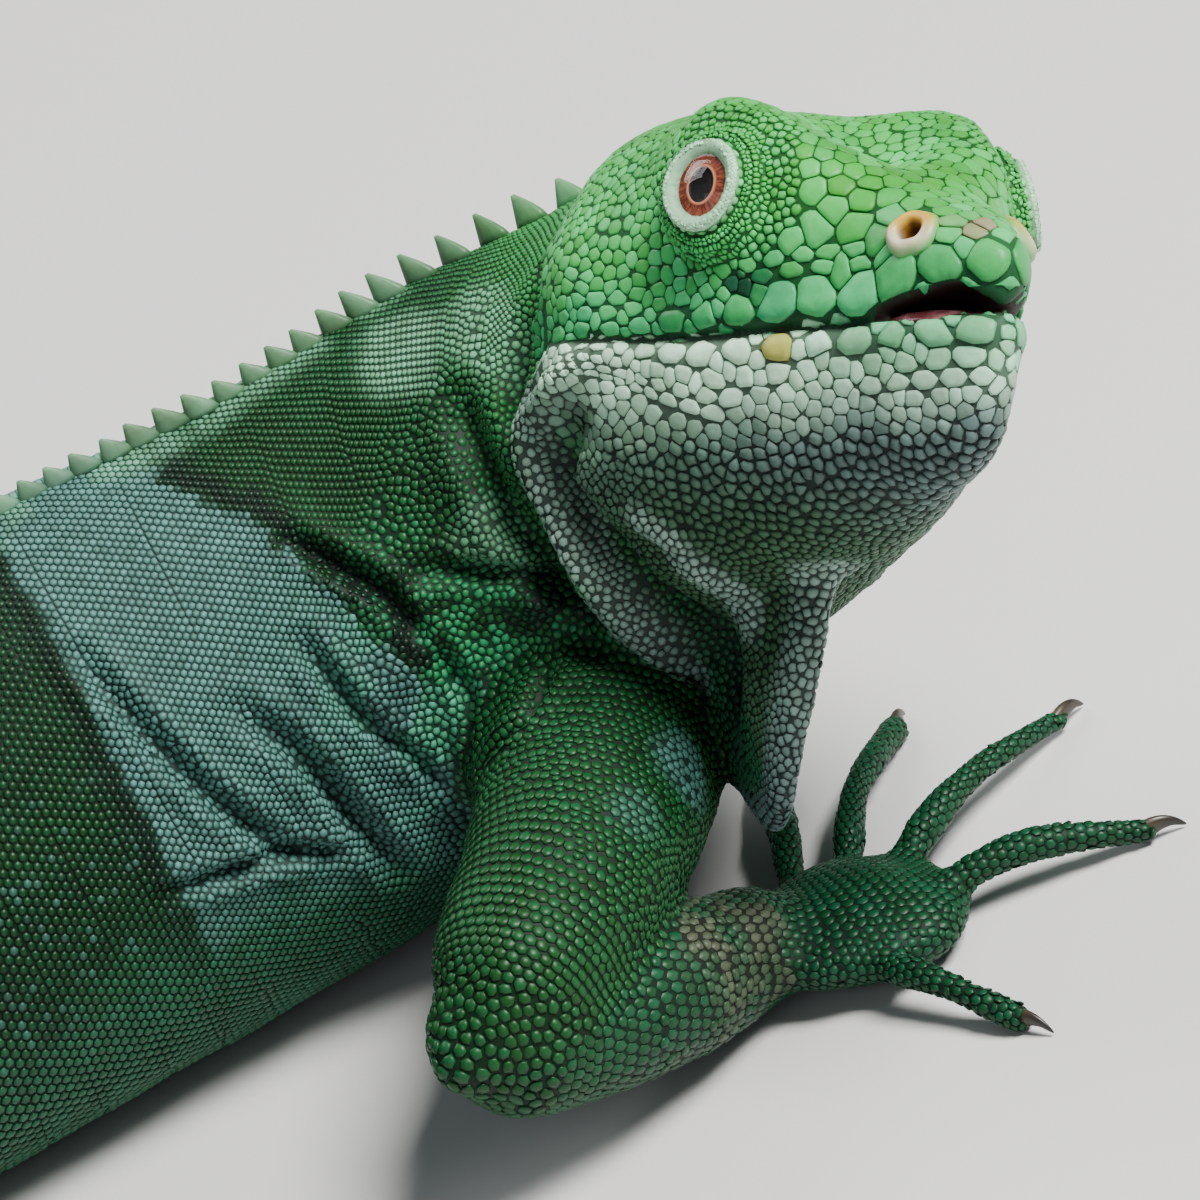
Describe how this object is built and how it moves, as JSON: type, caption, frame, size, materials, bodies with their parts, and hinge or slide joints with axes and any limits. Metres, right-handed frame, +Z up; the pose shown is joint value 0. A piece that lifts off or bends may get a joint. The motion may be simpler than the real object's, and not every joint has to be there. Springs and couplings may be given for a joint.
{
  "type": "fiji banded iguana",
  "caption": "Life-size still model of a Fiji banded iguana lying on its belly, head turned to its right and lifted, arms out with splayed fingers, long tail trailing behind.",
  "frame": {"origin": "middle of the bounding box on the floor the animal lies on", "axes": "+X the way the trunk points, towards the shoulders; +Z up; the animal's right side is -Y"},
  "size_m": [0.5076, 0.1362, 0.048],
  "materials": {
    "skin_green": "small bead-like scales in bright green with pale mint bands, dark at their edges, satin",
    "skin_pale": "pale mint to lilac-white bead-like scales of the jaw, throat and dewlap, satin",
    "eye": "wet copper-red iris with a dark oval pupil under a clear cornea",
    "claw": "dark brown horn, polished"
  },
  "bodies": {
    "root": {"dewlap": "skin_pale", "eye_left": "eye", "eye_right": "eye", "forearm_left": "skin_green", "forearm_right": "skin_green", "hand_left": "skin_green", "hand_left_claw_1": "claw", "hand_left_claw_2": "claw", "hand_left_claw_3": "claw", "hand_left_claw_4": "claw", "hand_left_claw_5": "claw", "hand_right": "skin_green", "hand_right_claw_1": "claw", "hand_right_claw_2": "claw", "hand_right_claw_3": "claw", "hand_right_claw_4": "claw", "hand_right_claw_5": "claw", "head": "skin_green", "hind_foot_left": "skin_green", "hind_foot_left_claw_1": "claw", "hind_foot_left_claw_2": "claw", "hind_foot_left_claw_3": "claw", "hind_foot_left_claw_4": "claw", "hind_foot_left_claw_5": "claw", "hind_foot_right": "skin_green", "hind_foot_right_claw_1": "claw", "hind_foot_right_claw_2": "claw", "hind_foot_right_claw_3": "claw", "hind_foot_right_claw_4": "claw", "hind_foot_right_claw_5": "claw", "lower_jaw": "skin_pale", "neck": "skin_green", "pelvis": "skin_green", "shin_left": "skin_green", "shin_right": "skin_green", "tail_1": "skin_green", "tail_2": "skin_green", "tail_3": "skin_green", "tail_4": "skin_green", "tail_5": "skin_green", "thigh_left": "skin_green", "thigh_right": "skin_green", "throat": "skin_pale", "trunk": "skin_green", "upper_arm_left": "skin_green", "upper_arm_right": "skin_green"}
  },
  "joints": []
}
